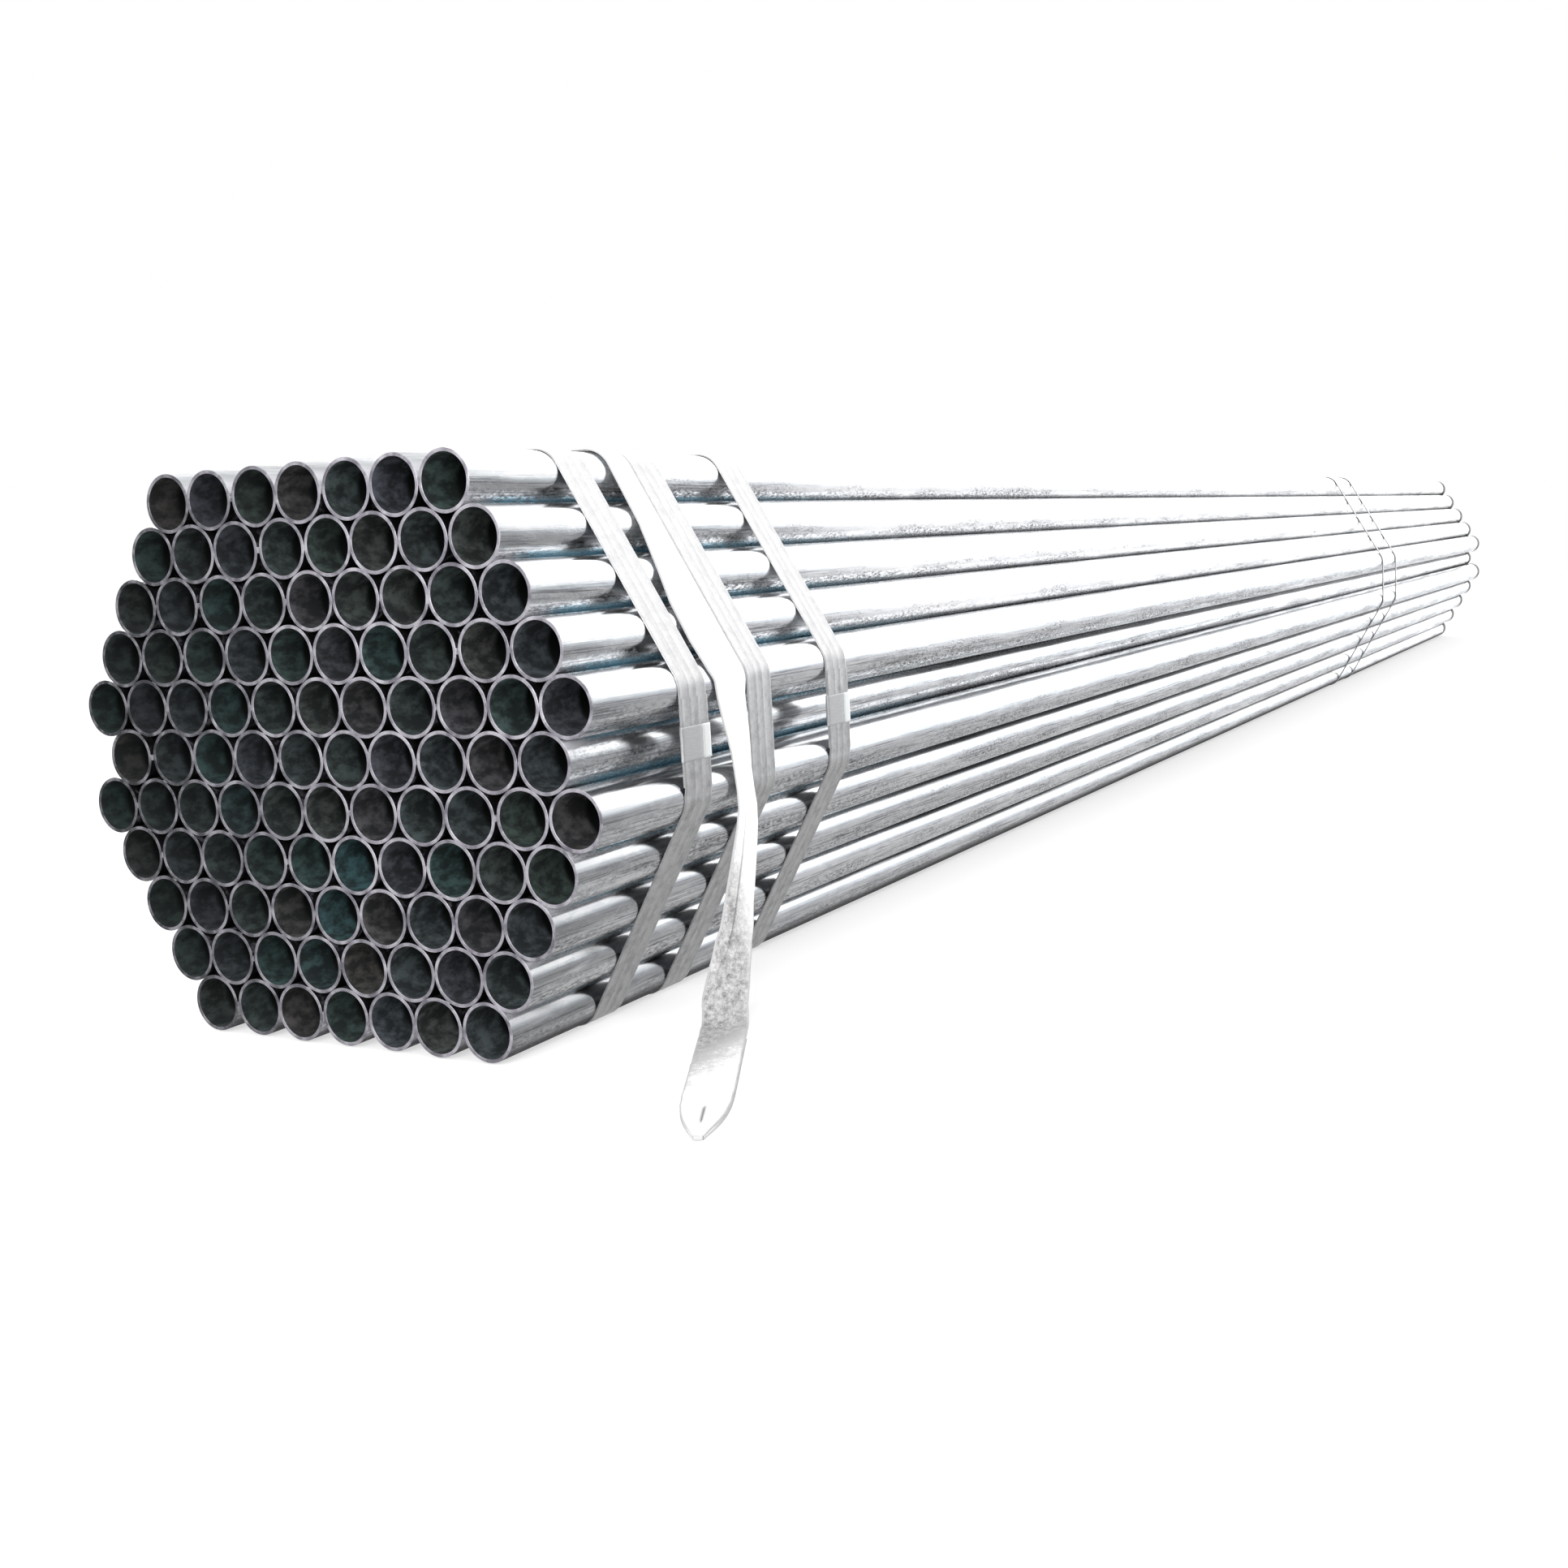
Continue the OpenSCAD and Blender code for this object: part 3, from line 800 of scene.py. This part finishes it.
bm = bmesh.new()
along_of = bm.verts.layers.float.new("along")
across_of = bm.verts.layers.float.new("across")
place_of = bm.verts.layers.int.new("place")
shade_line_of = bm.verts.layers.float.new("painted_shade_line")
# the section is one wide and one thick, and its points lie closest together at its rounded edges
strips = 40
spread = [0.5 * math.sin(math.pi / 2 * (2 * k / strips - 1)) for k in range(strips + 1)]
section = [(v, 0.5 * max(0.0, 1 - abs(2 * v) ** 9) ** 0.5) for v in spread]
section += [(v, -half) for v, half in section[-2:0:-1]]


def placed(place):
    """The matrix that lays the webbing's flat section at a place. Nothing uses its depth, 10 mm."""
    across, out = place["across"].normalized(), place["out"]
    way = across.cross(out).normalized()
    made = Matrix.Identity(4)
    for row in range(3):
        made[row][0] = across[row] * place["width"]
        made[row][1] = out[row] * place["thick"]
        made[row][2] = way[row] * 0.01
        made[row][3] = place["centre"][row]
    return made


verts = [bm.verts.new((v, half, 0)) for v, half in section]
for vert, (v, half) in zip(verts, section):
    vert[across_of] = v * sling_w
end = [bm.edges.new((verts[i], verts[(i + 1) % len(verts)])) for i in range(len(verts))]
bmesh.ops.transform(bm, matrix=placed(laid[0]), verts=verts)
laid[0]["along"] = 0.0
for number in range(1, len(laid)):
    here, last = laid[number], laid[number - 1]
    here["along"] = last["along"] + (here["centre"] - last["centre"]).length
    made = bmesh.ops.extrude_edge_only(bm, edges=end)["geom"]
    verts = [g for g in made if isinstance(g, bmesh.types.BMVert)]
    bmesh.ops.transform(bm, matrix=placed(here) @ placed(last).inverted(), verts=verts)
    for vert in verts:
        vert[along_of], vert[place_of] = here["along"], number
    end = [g for g in made if isinstance(g, bmesh.types.BMEdge) and g.is_boundary]
bmesh.ops.holes_fill(bm, edges=bm.edges[:], sides=200)


def drape(place, v):
    """How far the webbing stands out: its edges curl back, and it is folded, wrinkled and creased."""
    s, creased = place["along"], place["creased"]
    move = -place["curl"] * (2 * v) ** 2
    move += place["fold"] * 0.0018 * eased((-0.17 - v) / 0.035)
    move += creased * 0.0011 * math.sin(150 * s + 5.0 * v + 1.3 * math.sin(60 * s))
    move += creased * 0.0009 * math.sin(95 * s - 9.0 * v + 0.8)
    move -= place["slit"] * 0.0016 * math.exp(-(v / 0.04) ** 2)
    return max(move, -0.0011) if place["out"].z > 0.9 else move


for vert in bm.verts:
    place, v = laid[vert[place_of]], vert[across_of] / sling_w
    vert.co += place["out"] * drape(place, v)
    # painted shade: dark lines down in the eye's slit, along the edge of the fold, and round the tip
    vert[shade_line_of] = max(place["slit"] * math.exp(-(v / 0.05) ** 2),
                        place["fold"] * math.exp(-((v + 0.18) / 0.02) ** 2), place["tip"])
bmesh.ops.recalc_face_normals(bm, faces=bm.faces[:])
for face in bm.faces:
    face.smooth = True

# Polyester webbing: white, matt and close-woven, drawn with 3 mm ribs because the real 1.2 mm
# threads are too fine to show. Dust and painted shade grey it where it bends onto the floor, painted
# shade greys its edges, and painted dark lines run in the eye's slit, along the fold and round the
# tip.
warp_pitch, weft_pitch = 0.003, 0.0022
wave_period = 0.314  # the length of one band of the wave texture at a scale of 1
webbing = bpy.data.materials.new("white_polyester_webbing")
webbing.use_nodes = True
tree = webbing.node_tree
spot = node(tree, "TexCoord", output="Object")
along = node(tree, "Attribute", attribute_name="along", output="Fac")
across_in = node(tree, "Attribute", attribute_name="across", output="Fac")
painted_shade_line = node(tree, "Attribute", attribute_name="painted_shade_line", output="Fac")
cloth = node(tree, "CombineXYZ", {"X": along, "Y": across_in})
warp = node(tree, "TexWave", {
    "Vector": cloth, "Scale": wave_period / warp_pitch, "Distortion": 0.6, "Detail": 2,
    "Detail Scale": 2.0}, output="Fac", wave_type="BANDS", bands_direction="Y")
weft = node(tree, "TexWave", {
    "Vector": cloth, "Scale": wave_period / weft_pitch, "Distortion": 0.8, "Detail": 2,
    "Detail Scale": 2.0}, output="Fac", wave_type="BANDS", bands_direction="X")
weave = node(tree, "Math", {0: weft, 1: 0.5, 2: warp}, operation="MULTIPLY_ADD")
between_threads = node(tree, "MapRange", {"Value": weave, "From Max": 1.5, "To Min": 0.25,
                                          "To Max": 0.0})
soil = node(tree, "TexNoise", {"Vector": spot, "Scale": 140, "Detail": 9, "Roughness": 0.85})
# the dust and painted shade begin above the foot and end, raggedly, along the eye, both times on a
# slant
foot_along = next(place["along"] for place in laid if place["creased"] >= 1)
askew = node(tree, "Math", {0: across_in, 1: -1.8, 2: along}, operation="MULTIPLY_ADD")
low_down = node(tree, "MapRange", {"Value": askew, "From Min": foot_along - 0.19,
                                   "From Max": foot_along - 0.04}, interpolation_type="SMOOTHSTEP")
askew = node(tree, "Math", {0: across_in, 1: 1.6, 2: along}, operation="MULTIPLY_ADD")
ragged = node(tree, "Math", {0: soil, 1: 0.5}, operation="SUBTRACT")
askew = node(tree, "Math", {0: ragged, 1: 0.5, 2: askew}, operation="MULTIPLY_ADD")
far_out = node(tree, "MapRange", {"Value": askew, "From Min": foot_along + 0.25,
                                  "From Max": foot_along + 0.07}, interpolation_type="SMOOTHSTEP")
dust_and_shade = node(tree, "MapRange", {"Value": soil, "From Min": 0.34, "From Max": 0.64, "To Min": 0.42})
for share in (low_down, far_out):
    dust_and_shade = node(tree, "Math", {0: dust_and_shade, 1: share}, operation="MULTIPLY")
# painted shade: a grey line along each edge of the webbing
painted_edge_shade = node(tree, "Math", {0: across_in}, operation="ABSOLUTE")
painted_edge_shade = node(tree, "MapRange", {"Value": painted_edge_shade, "From Min": 0.0300, "From Max": 0.0328})
# painted shade: the dark lines in the slit, along the fold and round the tip
painted_shade_lines = node(tree, "Math", {0: painted_shade_line, 1: 0.9}, operation="MULTIPLY")
shade = node(tree, "Mix", {0: between_threads, 6: colour("#FAFAF9"), 7: colour("#D4D3D4")},
             data_type="RGBA")
for share, over in ((dust_and_shade, "#5C5A5C"), (painted_edge_shade, "#ABAAAC"), (painted_shade_lines, "#2C2B2C")):
    shade = node(tree, "Mix", {0: share, 6: shade, 7: colour(over)}, data_type="RGBA")
relief = node(tree, "Bump", {"Height": weave, "Strength": 0.35, "Distance": 0.0005})
plug(tree, tree.nodes["Principled BSDF"],
     {"Base Color": shade, "Roughness": 0.85, "Sheen Weight": 0.15, "Specular IOR Level": 0.3,
      "Normal": relief})
finished(bm, "webbing_sling", "sling_webbing", "sling", webbing)
